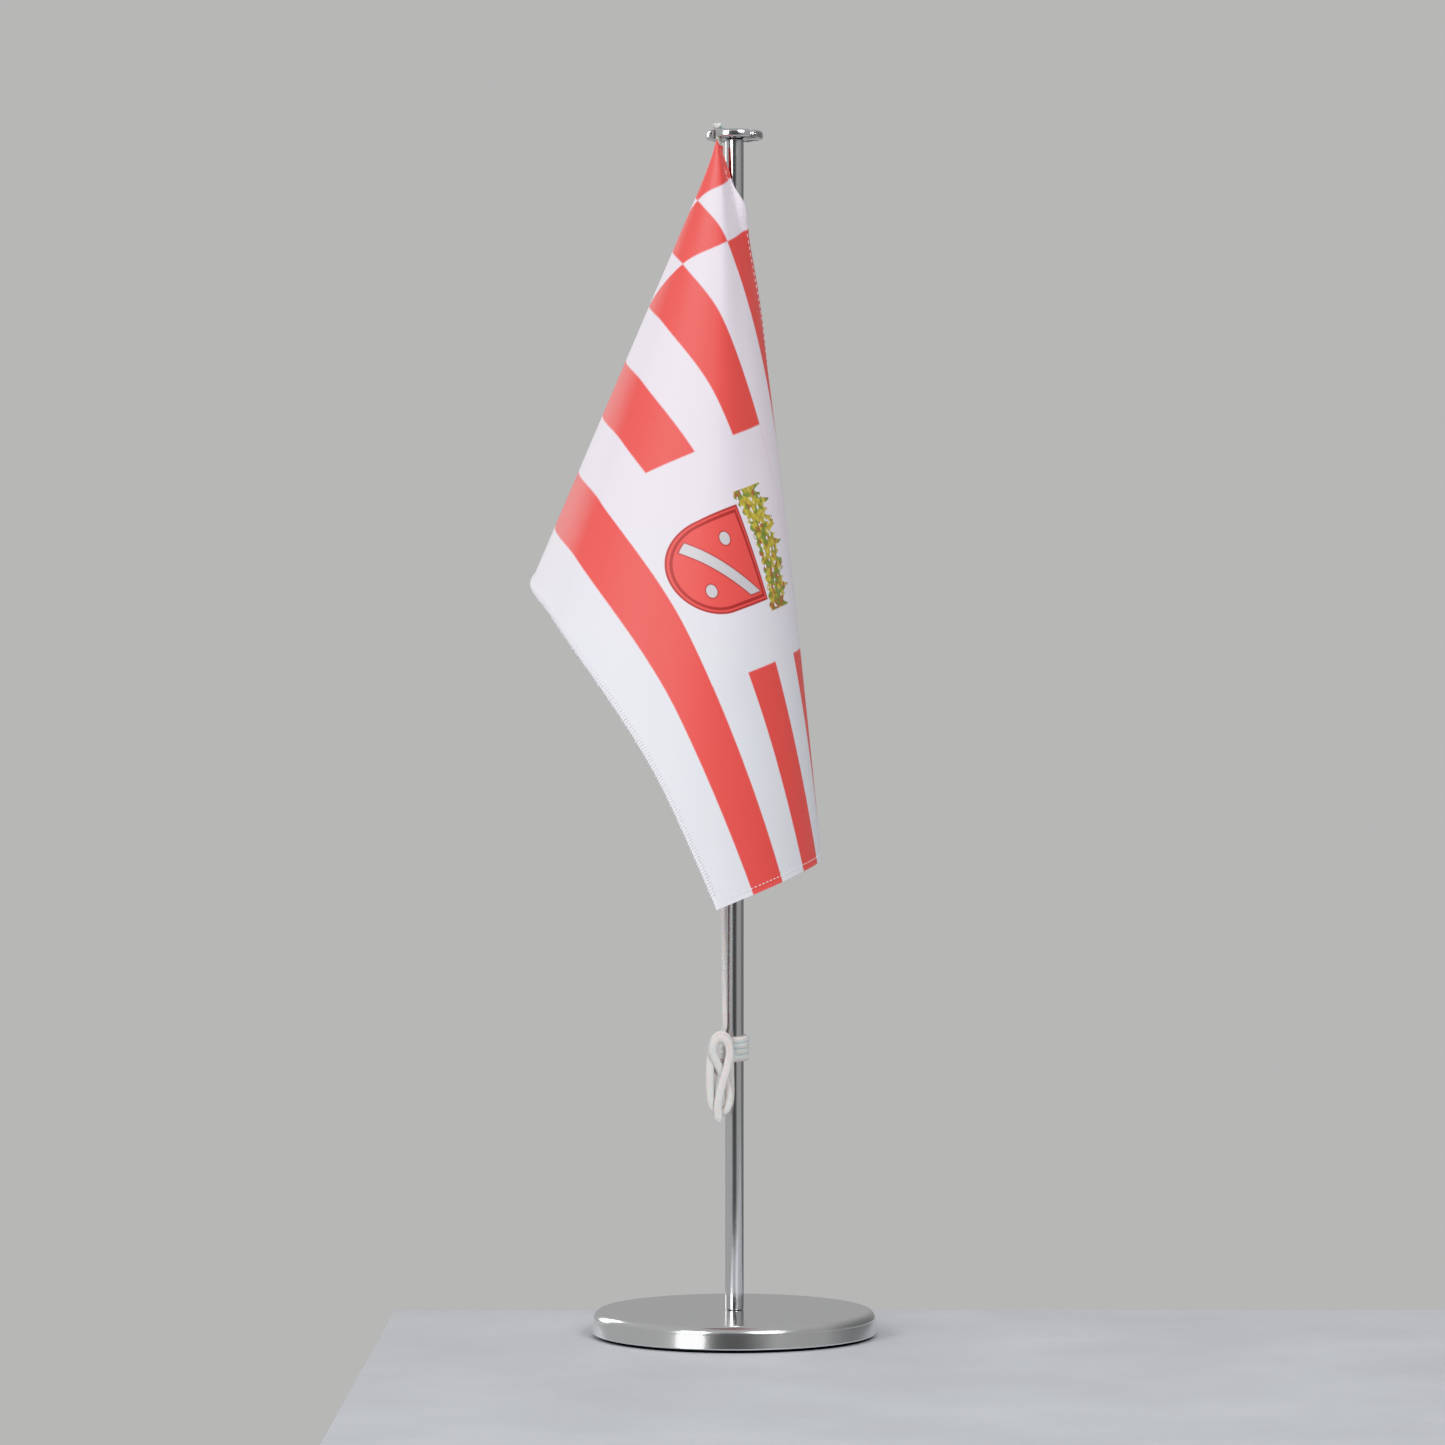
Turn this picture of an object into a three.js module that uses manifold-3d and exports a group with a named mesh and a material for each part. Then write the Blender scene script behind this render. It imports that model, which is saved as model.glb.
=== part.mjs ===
// Desk flag stand: a weighted round base, a slim pole, a slotted head disc, and a table flag that hangs
// from a cord hooked in the disc and wound round the pole. Millimetres, +Z up, the pole on the Z axis,
// the flag's printed side towards -Y. The origin is the centre of the face that the stand rests on.
import * as THREE from "three";
import { mergeVertices } from "three/addons/utils/BufferGeometryUtils.js";
import Module from "manifold-3d";

const wasm = await Module();
wasm.setup();

// ---- Driving dimensions ----

const CLEARANCE = 0.3; // left between pieces that touch
const SEAT = 0.1; // left where one fixed piece is seated on or in another
const ROUND = 72; // sides of a large round piece
const SMALL_ROUND = 32; // sides of a slim round piece

const cover = {
  radius: 50, // at its rim
  taper: 0.6, // by which its wall narrows from the rim to the shoulder
  height: 9, // of its flat top above the table
  rimHeight: 1, // of its rim above the table
  shoulder: 3, // radius of the rounded shoulder
  wall: 0.9,
};
const pad = { thickness: 1.2, inset: 1 };
const weight = { pocketPlay: 0.6, edge: 2 };
const thread = { radius: 1.5, play: 0.25, throughPlay: 0.4 }; // of the screw and the stud
const screw = { head: 2.75, headHeight: 1.4, socket: 1.2, socketDepth: 0.8, reach: 9 };
const flatWasher = { play: 0.2, radius: 4.2, thickness: 0.5 };
const lockWasher = { play: 0.25, radius: 3, thickness: 0.6, slit: 0.12 };

const pole = { radius: 3.25, wall: 0.9, length: 410.5 };
const insert = { length: 13 };
const stud = { inPole: 9, inDisc: 1.6 };
const disc = { radius: 10, thickness: 2.8, edge: 1.1, underside: 0.6 };
const slot = { count: 4, play: 0.4, depth: 4, firstAngle: -139.2 };

const cord = { radius: 1, sides: 8, steps: 44 };
const knot = { radius: 2, height: 2.3 };
const wrap = { height: 8.8, slack: 0.3, edge: 0.9 };
const tieHeight = 105.5; // top of the turns round the pole
const hank = { width: 8.8, length: 32.5, depth: 3.4, side: -4.9, top: 107 };

const flag = {
  hoist: 150,
  fly: 250,
  thickness: 0.6,
  dropBelowDisc: 2.6, // from the disc's underside to the flag's top corner
  corner: 7, // radius of the gathered corner left out of the sheet
  besideCord: 0.2, // the sheet's seam stands in front of the sleeve, this far to its right
  settle: 70, // distance from the corner over which a fold line bends to its lower lean
  offPole: 1.4, // least distance from the pole's surface to the middle of the sheet
};
const sleeve = { play: 0.35, wall: 0.4, topBelowCorner: 0.6 };
const hem = { width: 4, thickness: 0.4, cornerGap: 7.5 }; // the gap is in pole radii

// The flag hangs as a fan of fold lines from its top hoist corner. A line's place in the flat cloth is its
// angle below the top edge. Its leans from the vertical, sideways (to +X) and forward (to -Y), are in
// degrees, first at the corner, then lower down. The hoist itself follows the cord.
const FOLDS = [
  { fan: 0, side: [23, -3], front: [-19, 3] }, // top edge, round behind the pole's right
  { fan: 12, side: [16, 5], front: [-9, 16] }, // right-hand fold
  { fan: 24, side: [10, 3], front: [3, 26] },
  { fan: 36, side: [3, -7], front: [15, 31] }, // front, towards the free bottom corner
  { fan: 50, side: [-14, -20], front: [19, 30] },
  { fan: 63, side: [-23, -22], front: [11, 14] }, // left-hand fold
  { fan: 76, side: [-14, -13], front: [2, 3] }, // back half, out of sight behind the fold
];

// ---- Heights and places that follow from them ----

const coverTop = cover.height;
const poleFoot = coverTop + SEAT;
const poleTop = poleFoot + pole.length;
const discBottom = poleTop + SEAT;
const discTop = discBottom + disc.thickness;
const poleBore = pole.radius - pole.wall;
const shoulderRadius = cover.radius - cover.taper; // where the wall meets the shoulder
const weightBottom = pad.thickness + CLEARANCE;
const weightTop = coverTop - cover.wall - CLEARANCE;
const screwHole = thread.radius + thread.throughPlay;
const screwHeadBottom = weightBottom + CLEARANCE;
const screwHeadTop = screwHeadBottom + screw.headHeight;
const lockWasherBottom = screwHeadTop + CLEARANCE;
const flatWasherBottom = lockWasherBottom + lockWasher.thickness + CLEARANCE;
const flatWasherTop = flatWasherBottom + flatWasher.thickness;
const pocketTop = flatWasherTop + CLEARANCE;
const slotHalfWidth = cord.radius + slot.play;
const slotCentre = disc.radius - slot.depth + slotHalfWidth; // where the cord lies in its slot
const wrapRadius = pole.radius + CLEARANCE + 2 * cord.radius + wrap.slack;
const sleeveHole = cord.radius + sleeve.play;
const sleeveRadius = sleeveHole + sleeve.wall;

function polar(radius, degrees, z) {
  const a = THREE.MathUtils.degToRad(degrees);
  return new THREE.Vector3(radius * Math.cos(a), radius * Math.sin(a), z);
}

const cordHead = polar(slotCentre, slot.firstAngle, discTop);
const cordFootRadius = pole.radius + CLEARANCE + cord.radius;
const cordFoot = polar(cordFootRadius, slot.firstAngle, tieHeight + CLEARANCE);
const cordAxis = cordFoot.clone().sub(cordHead).normalize();

function cordAt(z) {
  const t = (z - cordHead.z) / (cordFoot.z - cordHead.z);
  return cordHead.clone().lerp(cordFoot, t);
}

const cornerZ = discBottom - flag.dropBelowDisc;
const seamAhead = sleeveRadius + CLEARANCE + flag.thickness / 2;
const flagCorner = cordAt(cornerZ).add(new THREE.Vector3(flag.besideCord, -seamAhead, 0));

// ---- Solids ----

function signedVolume(position, index) {
  const [a, b, c] = [new THREE.Vector3(), new THREE.Vector3(), new THREE.Vector3()];
  let six = 0;
  for (let i = 0; i < index.length; i += 3) {
    a.fromBufferAttribute(position, index[i]);
    b.fromBufferAttribute(position, index[i + 1]);
    c.fromBufferAttribute(position, index[i + 2]);
    six += a.dot(b.cross(c));
  }
  return six / 6;
}

// One closed mesh with shared corners, its faces pointing out.
function closed(geometry) {
  geometry.deleteAttribute("normal");
  geometry.deleteAttribute("uv");
  const merged = mergeVertices(geometry, 1e-4);
  const index = Array.from(merged.index.array);
  const faces = [];
  for (let i = 0; i < index.length; i += 3) {
    const [a, b, c] = index.slice(i, i + 3);
    if (a !== b && b !== c && c !== a) faces.push(a, b, c);
  }
  if (signedVolume(merged.attributes.position, faces) < 0) faces.reverse();
  merged.setIndex(faces);
  merged.computeVertexNormals();
  return merged;
}

function toSolid(geometry) {
  const g = closed(geometry);
  const vertProperties = new Float32Array(g.attributes.position.array);
  const triVerts = new Uint32Array(g.index.array);
  return new wasm.Manifold(new wasm.Mesh({ numProp: 3, vertProperties, triVerts }));
}

function toGeometry(solid) {
  const mesh = solid.getMesh();
  const g = new THREE.BufferGeometry();
  g.setAttribute("position", new THREE.BufferAttribute(new Float32Array(mesh.vertProperties), 3));
  g.setIndex(Array.from(mesh.triVerts));
  g.computeVertexNormals();
  return g;
}

function cut(geometry, cutters) {
  return toGeometry(cutters.reduce((left, cutter) => left.subtract(toSolid(cutter)), toSolid(geometry)));
}

// Points of an arc in a profile: centre, radius, and angles in degrees.
function arc(r, z, radius, from, to, steps = 6) {
  return Array.from({ length: steps + 1 }, (_, i) => {
    const p = polar(radius, from + ((to - from) * i) / steps, 0);
    return [r + p.x, z + p.y];
  });
}

// A turned solid. Its profile is a list of [radius, height]; it is closed back to its first point.
function turned(profile, sides = ROUND) {
  const points = [...profile, profile[0]].map(([r, z]) => new THREE.Vector2(r, z));
  return closed(new THREE.LatheGeometry(points, sides).rotateX(Math.PI / 2));
}

function ring(inner, outer, bottom, top, sides = SMALL_ROUND) {
  return turned([[inner, bottom], [outer, bottom], [outer, top], [inner, top]], sides);
}

// ---- Base ----

function coverGeometry() {
  const { radius, rimHeight, shoulder, wall } = cover;
  const centre = [shoulderRadius - shoulder, coverTop - shoulder];
  return turned([
    [radius - wall, rimHeight],
    [radius, rimHeight],
    ...arc(...centre, shoulder, 0, 90),
    [screwHole, coverTop],
    [screwHole, coverTop - wall],
    ...arc(...centre, shoulder - wall, 90, 0),
  ]);
}

function weightGeometry() {
  const radius = shoulderRadius - cover.wall - CLEARANCE;
  const pocketRadius = flatWasher.radius + weight.pocketPlay;
  return turned([
    [pocketRadius, weightBottom],
    [radius, weightBottom],
    ...arc(radius - weight.edge, weightTop - weight.edge, weight.edge, 0, 90, 4),
    [screwHole, weightTop],
    [screwHole, pocketTop],
    [pocketRadius, pocketTop],
  ]);
}

function padGeometry() {
  const radius = cover.radius - cover.wall - pad.inset;
  return turned([[0, 0], [radius, 0], [radius, pad.thickness], [0, pad.thickness]]);
}

function flatWasherGeometry() {
  const hole = thread.radius + flatWasher.play;
  return ring(hole, flatWasher.radius, flatWasherBottom, flatWasherTop);
}

function screwGeometry() {
  const body = turned(
    [
      [0, screwHeadBottom],
      [screw.head, screwHeadBottom],
      [screw.head, screwHeadTop],
      [thread.radius, screwHeadTop],
      [thread.radius, poleFoot + screw.reach],
      [0, poleFoot + screw.reach],
    ],
    SMALL_ROUND,
  );
  const socket = new THREE.CylinderGeometry(screw.socket, screw.socket, 2 * screw.socketDepth, 6);
  socket.rotateX(Math.PI / 2).translate(0, 0, screwHeadBottom);
  return cut(body, [socket]);
}

function lockWasherGeometry() {
  const { play, radius, thickness, slit } = lockWasher;
  const hole = thread.radius + play;
  const shape = new THREE.Shape();
  shape.absarc(0, 0, radius, slit, 2 * Math.PI - slit, false);
  shape.absarc(0, 0, hole, 2 * Math.PI - slit, slit, true);
  shape.closePath();
  const options = { depth: thickness, bevelEnabled: false, curveSegments: 20 };
  return closed(new THREE.ExtrudeGeometry(shape, options).translate(0, 0, lockWasherBottom));
}

// ---- Pole and head ----

function insertGeometry(bottom) {
  const bore = thread.radius + thread.play;
  return ring(bore, poleBore - SEAT, bottom, bottom + insert.length);
}

function studGeometry() {
  return turned(
    [
      [0, discBottom - stud.inPole],
      [thread.radius, discBottom - stud.inPole],
      [thread.radius, discBottom + stud.inDisc],
      [0, discBottom + stud.inDisc],
    ],
    SMALL_ROUND,
  );
}

function discGeometry() {
  const { radius, edge, underside } = disc;
  const bore = thread.radius + SEAT;
  const boreTop = discBottom + stud.inDisc + SEAT;
  const body = turned([
    [bore, discBottom],
    ...arc(radius - underside, discBottom + underside, underside, -90, 0, 3),
    ...arc(radius - edge, discTop - edge, edge, 0, 90, 5),
    [0, discTop],
    [0, boreTop],
    [bore, boreTop],
  ]);
  const pitch = 360 / slot.count;
  const slots = Array.from({ length: slot.count }, (_, i) => slotCutter(slot.firstAngle + pitch * i));
  return cut(body, slots);
}

// A slot open at the rim, with a round inner end that the cord rests in.
function slotCutter(degrees) {
  const shape = new THREE.Shape();
  const beyond = disc.radius + slotHalfWidth;
  shape.moveTo(beyond, -slotHalfWidth);
  shape.lineTo(beyond, slotHalfWidth);
  shape.lineTo(slotCentre, slotHalfWidth);
  shape.absarc(slotCentre, 0, slotHalfWidth, Math.PI / 2, (3 * Math.PI) / 2, false);
  const options = { depth: disc.thickness + 2 * slotHalfWidth, bevelEnabled: false, curveSegments: 8 };
  const cutter = new THREE.ExtrudeGeometry(shape, options);
  return cutter.translate(0, 0, discBottom - slotHalfWidth).rotateZ(THREE.MathUtils.degToRad(degrees));
}

// ---- Cord ----

// The taut stretch, from the head disc's slot down to the turns round the pole.
const CORD_ROUTE = [cordHead, cordFoot];

function cordGeometry() {
  const section = new THREE.Shape(
    Array.from({ length: cord.sides }, (_, i) => {
      const p = polar(cord.radius, (360 * i) / cord.sides, 0);
      return new THREE.Vector2(p.x, p.y);
    }),
  );
  const path = new THREE.LineCurve3(...CORD_ROUTE);
  return closed(new THREE.ExtrudeGeometry(section, { steps: cord.steps, extrudePath: path }));
}

function knotGeometry() {
  const ball = new THREE.SphereGeometry(knot.radius, 20, 12).scale(1, 1, knot.height / 2 / knot.radius);
  return closed(ball.translate(cordHead.x, cordHead.y, discTop + CLEARANCE + knot.height / 2));
}

function wrapGeometry() {
  const inner = pole.radius + CLEARANCE;
  const bottom = tieHeight - wrap.height;
  return turned(
    [
      [inner, bottom],
      ...arc(wrapRadius - wrap.edge, bottom + wrap.edge, wrap.edge, -90, 0, 3),
      ...arc(wrapRadius - wrap.edge, tieHeight - wrap.edge, wrap.edge, 0, 90, 3),
      [inner, tieHeight],
    ],
    SMALL_ROUND,
  );
}

// The spare cord's loops, an upright outline with round ends in front of the turns.
function hankGeometry() {
  const { width, length, depth, side, top } = hank;
  const half = width / 2;
  const back = -(wrapRadius + CLEARANCE);
  const shape = new THREE.Shape();
  shape.absarc(side, top - half, half, 0, Math.PI, false);
  shape.absarc(side, top - length + half, half, Math.PI, 2 * Math.PI, false);
  shape.closePath();
  const loops = new THREE.ExtrudeGeometry(shape, { depth, bevelEnabled: false, curveSegments: 10 });
  return closed(loops.rotateX(Math.PI / 2).translate(0, back, 0));
}

// ---- Flag ----

// Smooth curve through the folds' values: a cubic between neighbours, with the slope at each fold
// taken from the folds on either side of it.
function smoothThrough(xs, ys, x) {
  const last = xs.length - 1;
  const slope = (i) => {
    const [a, b] = [Math.max(i - 1, 0), Math.min(i + 1, last)];
    return (ys[b] - ys[a]) / (xs[b] - xs[a]);
  };
  const i = Math.min(Math.max(xs.findLastIndex((value) => value <= x), 0), last - 1);
  const h = xs[i + 1] - xs[i];
  const t = (x - xs[i]) / h;
  return (
    (2 * t ** 3 - 3 * t ** 2 + 1) * ys[i] +
    (t ** 3 - 2 * t ** 2 + t) * h * slope(i) +
    (3 * t ** 2 - 2 * t ** 3) * ys[i + 1] +
    (t ** 3 - t ** 2) * h * slope(i + 1)
  );
}

const hoistSide = THREE.MathUtils.radToDeg(Math.atan(cordAxis.x / -cordAxis.z));
const hoistFront = THREE.MathUtils.radToDeg(Math.atan(cordAxis.y / cordAxis.z));
const foldLines = [
  ...FOLDS,
  { fan: 90, side: [hoistSide, hoistSide], front: [hoistFront, hoistFront] },
];

function lean(fan, way, end) {
  return smoothThrough(foldLines.map((f) => f.fan), foldLines.map((f) => f[way][end]), fan);
}

// Where the flat cloth's point (u along the fly, v down the hoist) hangs: the fold line through it is
// followed from the corner for its flat distance, then it is kept off the pole.
function draped(u, v) {
  const reach = Math.hypot(u, v);
  const fan = THREE.MathUtils.radToDeg(Math.atan2(v, u));
  const sides = [lean(fan, "side", 0), lean(fan, "side", 1)];
  const fronts = [lean(fan, "front", 0), lean(fan, "front", 1)];
  const steps = 24;
  const p = flagCorner.clone();
  for (let i = 0; i < steps; i++) {
    const early = Math.exp((-reach * (i + 0.5)) / steps / flag.settle);
    const side = THREE.MathUtils.degToRad(sides[1] + (sides[0] - sides[1]) * early);
    const front = THREE.MathUtils.degToRad(fronts[1] + (fronts[0] - fronts[1]) * early);
    const way = new THREE.Vector3(Math.tan(side), -Math.tan(front), -1).normalize();
    p.addScaledVector(way, reach / steps);
  }
  const keep = pole.radius + flag.offPole;
  const out = Math.hypot(p.x, p.y);
  const pushed = (out ** 8 + keep ** 8) ** (1 / 8) / out;
  return p.multiply(new THREE.Vector3(pushed, pushed, 1));
}

// The cloth's normal there, pointing to the unprinted side, towards the pole.
function clothNormal(u, v) {
  const d = 0.5;
  const alongFly = draped(u + d, v).sub(draped(u - d, v));
  const alongHoist = draped(u, v + d).sub(draped(u, v - d));
  return alongFly.cross(alongHoist).normalize();
}

// A closed slab of the draped cloth between two offsets from its middle. flat(i, j) gives the flat point
// of each grid place, i from 0 to rows and j from 0 to columns.
function clothSlab(rows, columns, flat, from, to) {
  const place = (layer, i, j) => (layer * (rows + 1) + i) * (columns + 1) + j;
  const points = [];
  for (const offset of [from, to]) {
    for (let i = 0; i <= rows; i++) {
      for (let j = 0; j <= columns; j++) {
        const [u, v] = flat(i, j);
        points.push(draped(u, v).addScaledVector(clothNormal(u, v), offset));
      }
    }
  }
  const faces = [];
  const quad = (a, b, c, d) => faces.push(a, b, c, a, c, d);
  for (let i = 0; i < rows; i++) {
    for (let j = 0; j < columns; j++) {
      quad(place(0, i, j), place(0, i + 1, j), place(0, i + 1, j + 1), place(0, i, j + 1));
      quad(place(1, i, j), place(1, i, j + 1), place(1, i + 1, j + 1), place(1, i + 1, j));
    }
  }
  for (let i = 0; i < rows; i++) {
    quad(place(0, i, 0), place(1, i, 0), place(1, i + 1, 0), place(0, i + 1, 0));
    quad(place(0, i, columns), place(0, i + 1, columns), place(1, i + 1, columns), place(1, i, columns));
  }
  for (let j = 0; j < columns; j++) {
    quad(place(0, 0, j), place(0, 0, j + 1), place(1, 0, j + 1), place(1, 0, j));
    quad(place(0, rows, j), place(1, rows, j), place(1, rows, j + 1), place(0, rows, j + 1));
  }
  const g = new THREE.BufferGeometry();
  g.setAttribute("position", new THREE.Float32BufferAttribute(points.flatMap((p) => p.toArray()), 3));
  g.setIndex(faces);
  return closed(g);
}

// The sheet's grid fans out from the hoist corner, so its rows follow the fold lines. One row ends on
// the free bottom corner.
function flagGeometry() {
  const cornerFan = Math.atan2(flag.hoist, flag.fly);
  const flyRows = 15;
  const bottomRows = 24;
  const columns = 15;
  const crowding = 1.6; // brings the grid's columns closer together towards the hoist corner
  const flat = (i, j) => {
    const beyond = Math.max(i - flyRows, 0) / bottomRows;
    const fan = i <= flyRows ? (cornerFan * i) / flyRows : cornerFan + (Math.PI / 2 - cornerFan) * beyond;
    const reach = i <= flyRows ? flag.fly / Math.cos(fan) : flag.hoist / Math.sin(fan);
    const r = flag.corner + (reach - flag.corner) * (j / columns) ** crowding;
    return [r * Math.cos(fan), r * Math.sin(fan)];
  };
  return clothSlab(flyRows + bottomRows, columns, flat, -flag.thickness / 2, flag.thickness / 2);
}

// A turned-back edge: a strip of the flat cloth from (u0, v0) to (u1, v1), behind the sheet.
function hemGeometry(u0, u1, v0, v1, rows, columns) {
  const near = flag.thickness / 2 + CLEARANCE;
  const flat = (i, j) => [u0 + ((u1 - u0) * j) / columns, v0 + ((v1 - v0) * i) / rows];
  return clothSlab(rows, columns, flat, near, near + hem.thickness);
}

function sleeveMesh(name, material) {
  const top = cordAt(cornerZ - sleeve.topBelowCorner);
  const length = flag.hoist - sleeve.topBelowCorner;
  const mesh = piece(name, ring(sleeveHole, sleeveRadius, 0, length, 16), material);
  mesh.position.copy(top);
  mesh.quaternion.setFromUnitVectors(new THREE.Vector3(0, 0, 1), cordAxis);
  return mesh;
}

// ---- Materials ----

function finish(color, roughness, metalness) {
  return new THREE.MeshStandardMaterial({ color, roughness, metalness });
}

const chrome = finish(0xd9dcde, 0.05, 1);
const steel = finish(0x9b9ea1, 0.35, 1);
const castIron = finish(0x4a4a4c, 0.75, 0.6);
const foamRubber = finish(0x1c1c1d, 0.9, 0);
const satin = finish(0xf0e8f4, 0.5, 0);
const redSatin = finish(0xe0544e, 0.5, 0);
const sewing = finish(0xf6f4f8, 0.8, 0);
const cordWhite = finish(0xf2f2f0, 0.4, 0);

// ---- Assembly ----

function piece(name, geometry, material) {
  const mesh = new THREE.Mesh(geometry, material);
  mesh.name = name;
  return mesh;
}

const stand = new THREE.Group();
stand.add(
  piece("base_cover", coverGeometry(), chrome),
  piece("base_weight", weightGeometry(), castIron),
  piece("base_pad", padGeometry(), foamRubber),
  piece("base_screw", screwGeometry(), steel),
  piece("base_flat_washer", flatWasherGeometry(), steel),
  piece("base_lock_washer", lockWasherGeometry(), steel),
  piece("pole_tube", ring(poleBore, pole.radius, poleFoot, poleTop, 40), chrome),
  piece("pole_foot_insert", insertGeometry(poleFoot), steel),
  piece("pole_top_insert", insertGeometry(poleTop - insert.length), steel),
);

const head = new THREE.Group();
head.add(
  piece("head_stud", studGeometry(), steel),
  piece("head_disc", discGeometry(), chrome),
  piece("cord_knot", knotGeometry(), cordWhite),
  piece("cord_run", cordGeometry(), cordWhite),
  piece("cord_wrap", wrapGeometry(), cordWhite),
  piece("cord_hank", hankGeometry(), cordWhite),
);

const hemStart = hem.cornerGap * pole.radius; // where the cloth has come clear of the pole
const hemEnd = flag.fly - hem.width - CLEARANCE;
const banner = new THREE.Group();
banner.add(
  piece("flag_cloth", flagGeometry(), satin),
  sleeveMesh("hoist_sleeve", redSatin),
  piece("top_hem", hemGeometry(hemStart, hemEnd, 0, hem.width, 3, 44), redSatin),
  piece("fly_hem", hemGeometry(flag.fly - hem.width, flag.fly, 0, flag.hoist, 36, 1), sewing),
  piece(
    "bottom_hem",
    hemGeometry(hemStart, hemEnd, flag.hoist - hem.width, flag.hoist, 1, 48),
    sewing,
  ),
);

const part = new THREE.Group();
part.add(stand, head, banner);

export default part;
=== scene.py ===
import math

import bpy
import numpy as np
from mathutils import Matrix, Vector


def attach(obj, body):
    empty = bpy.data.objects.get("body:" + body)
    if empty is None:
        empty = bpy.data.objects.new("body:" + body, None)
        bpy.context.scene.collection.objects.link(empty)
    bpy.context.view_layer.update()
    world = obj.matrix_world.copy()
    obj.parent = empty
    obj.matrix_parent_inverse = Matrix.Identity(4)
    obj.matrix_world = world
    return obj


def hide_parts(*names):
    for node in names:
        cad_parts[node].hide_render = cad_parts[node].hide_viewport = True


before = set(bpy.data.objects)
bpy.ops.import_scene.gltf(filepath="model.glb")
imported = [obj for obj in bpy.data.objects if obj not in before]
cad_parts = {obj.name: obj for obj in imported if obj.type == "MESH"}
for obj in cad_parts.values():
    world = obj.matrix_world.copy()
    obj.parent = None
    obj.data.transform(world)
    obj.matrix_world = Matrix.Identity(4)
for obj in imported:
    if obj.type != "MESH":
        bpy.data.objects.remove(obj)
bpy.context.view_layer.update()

MM = 0.001

# ---- Sizes ----

COVER_RADIUS = 50.0
COVER_TAPER = 0.6
COVER_TOP = 9.0
COVER_RIM = 1.0
COVER_SHOULDER = 3.0
COVER_WALL = 0.9
PAD_RADIUS = 48.1
PAD_HEIGHT = 1.2

POLE_RADIUS = 3.25
POLE_WALL = 0.9
POLE_FOOT = 9.1
POLE_TOP = 419.6

DISC_RADIUS = 10.0
DISC_BOTTOM = 419.7
DISC_TOP = 422.5
DISC_EDGE = 1.1
DISC_UNDERSIDE = 0.6
STUD_HOLE = 1.6
STUD_HOLE_TOP = 421.4
SLOT_ANGLE = -139.2
SLOT_HALF_WIDTH = 1.4
SLOT_CENTRE = 7.4

CORD_RADIUS = 1.0
CORD_HEAD = np.array([-5.6018, -4.8353, 422.5])
CORD_FOOT = np.array([-3.4443, -2.9731, 105.8])
CORD_AXIS = (CORD_FOOT - CORD_HEAD) / np.linalg.norm(CORD_FOOT - CORD_HEAD)
CORD_ABOVE_HEAD = 0.9
CORD_STEP = 0.6
CORD_TIP = 1.2
BRAID_PITCH = 6.0
TURN_RADIUS = 4.55
TURN_PITCH = 2.06
TURN_TOP = 105.0
TURN_SWEEP = 1322.0
KNOT_CORD = 0.75
KNOT_RISE = 1.2

HOIST = 150.0
FLY = 250.0
CLOTH = 0.3
FLAG_CORNER = np.array([-5.366, -7.185, 417.1])
SLEEVE_RADIUS = 1.62


def polar(radius, degrees, z):
    """Points at a radius and angles about the pole's axis, at the heights z."""
    a = np.radians(degrees)
    return np.stack([radius * np.cos(a), radius * np.sin(a), z + 0.0 * a], -1)


def unit(vectors):
    """The vectors, each divided by its length."""
    return vectors / np.linalg.norm(vectors, axis=-1, keepdims=True)


# ---- Meshes ----


def surface(name, points, body, finishes, closed=(False, False), caps=(), uv=None, faces_of=None):
    """One skin over grids of points (copies x rows x columns, or one grid of rows x columns), joined to
    itself along the rows or columns that are closed. caps are the rows closed by a flat face. uv is a
    pair of rows: the value at each row and at each column. faces_of gives each face's finish."""
    points = np.asarray(points, float)
    if points.ndim == 3:
        points = points[None]
    copies, rows, columns = points.shape[:3]
    i = np.arange(rows if closed[0] else rows - 1)[:, None]
    j = np.arange(columns if closed[1] else columns - 1)[None, :]

    def corner(di, dj):
        return ((i + di) % rows) * columns + (j + dj) % columns

    steps = ((0, 0), (1, 0), (1, 1), (0, 1))
    quads = np.stack([corner(di, dj) for di, dj in steps], -1).reshape(-1, 4)
    every = (quads[None] + (np.arange(copies) * rows * columns)[:, None, None]).reshape(-1, 4)
    faces = every.tolist()
    for row in caps:
        ring = np.arange(columns) + (row % rows) * columns
        for copy in range(copies):
            faces.append((ring[::-1] if row == 0 else ring).tolist())
    mesh = bpy.data.meshes.new(name)
    mesh.from_pydata((points.reshape(-1, 3) * MM).tolist(), [], faces)
    for finish in finishes:
        mesh.materials.append(finish)
    if uv is not None:
        across, along = np.asarray(uv[0], float), np.asarray(uv[1], float)
        places = [(across[i + di] + 0 * j, along[j + dj] + 0 * i) for di, dj in steps]
        loops = np.stack([np.stack(place, -1) for place in places], 2).reshape(-1, 2)
        values = np.zeros((len(mesh.loops), 2), np.float32)
        values[: copies * len(loops)] = np.tile(loops, (copies, 1))
        mesh.uv_layers.new(name="Flat").data.foreach_set("uv", values.ravel())
    if faces_of is not None:
        values = np.zeros(len(mesh.polygons), np.int32)
        values[: len(faces_of)] = faces_of
        mesh.polygons.foreach_set("material_index", values)
    mesh.polygons.foreach_set("use_smooth", np.ones(len(mesh.polygons), bool))
    mesh.update()
    piece = bpy.data.objects.new(name, mesh)
    bpy.context.scene.collection.objects.link(piece)
    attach(piece, body)
    return piece


def sharpen(piece, degrees):
    """Edges that turn by more than this stay crisp."""
    bpy.context.view_layer.objects.active = piece
    piece.select_set(True)
    bpy.ops.object.shade_smooth_by_angle(angle=math.radians(degrees))
    piece.select_set(False)


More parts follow.
